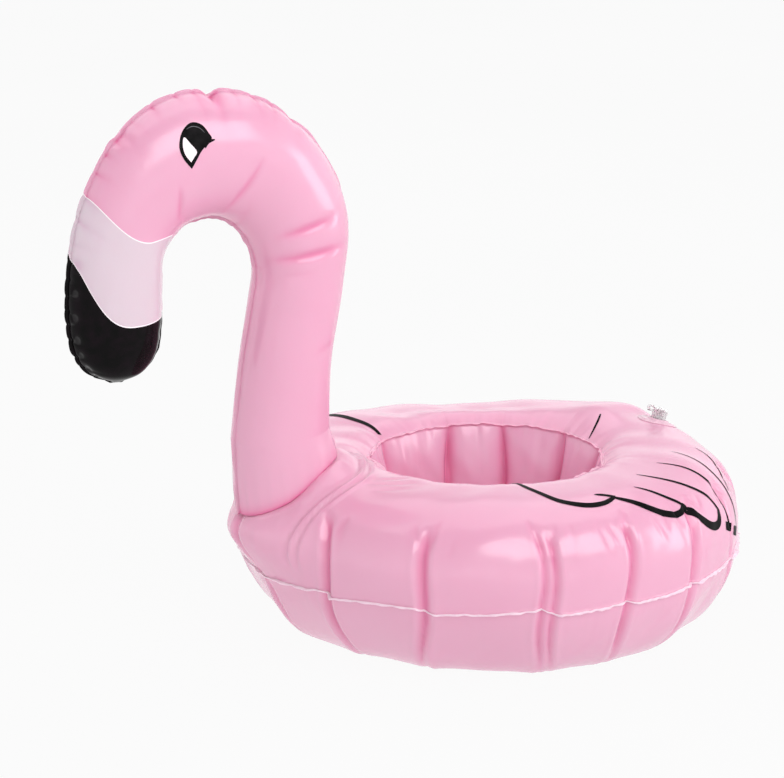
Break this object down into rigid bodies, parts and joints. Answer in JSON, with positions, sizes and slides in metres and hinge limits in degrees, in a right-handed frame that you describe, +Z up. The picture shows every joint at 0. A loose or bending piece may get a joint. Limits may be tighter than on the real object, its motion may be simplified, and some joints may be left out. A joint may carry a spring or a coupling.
{
  "type": "inflatable drink holder float",
  "caption": "Inflatable flamingo drink-holder float: a welded film ring with a cup well, a hooked neck and head, and a push-in mini valve with a strapped plug.",
  "frame": {"origin": "the ground under the middle of the float's length and width", "axes": "+X from the beak towards the tail, along the float's plane of symmetry; +Y towards the bird's right side; +Z up"},
  "size_m": [0.3052, 0.223, 0.2387],
  "materials": {
    "ring_film": "glossy, slightly see-through soft PVC film",
    "neck_film": "glossy soft PVC film with printed eye, pale band and black beak tip",
    "cup_film": "glossy soft PVC film",
    "valve_pvc": "clear, slightly milky soft PVC moulding"
  },
  "bodies": {
    "float": {"ring_top_panel": "ring_film", "ring_bottom_panel": "ring_film", "cup_wall": "cup_film", "cup_floor": "cup_film", "neck_left_panel": "neck_film", "neck_right_panel": "neck_film", "valve_flange": "valve_pvc"},
    "stem": {"valve_stem": "valve_pvc"},
    "plug": {"valve_plug": "valve_pvc"},
    "check_flap": {"valve_check_flap": "valve_pvc"}
  },
  "joints": [
    {"name": "stem_push_in", "type": "slide", "parent": "float", "child": "stem", "axis": [-0.2775, 0, -0.9607], "range_m": [0, 0.0025]},
    {"name": "plug_open", "type": "hinge", "parent": "stem", "child": "plug", "pos_m": [0.12422, 0, 0.07826], "axis": [0, -1, 0], "range_deg": [0, 135]},
    {"name": "flap_open", "type": "hinge", "parent": "stem", "child": "check_flap", "pos_m": [0.12333, 0, 0.06363], "axis": [0, 1, 0], "range_deg": [0, 60], "stiffness_Nm_per_rad": 0.00001, "springref_deg": -11.46}
  ]
}
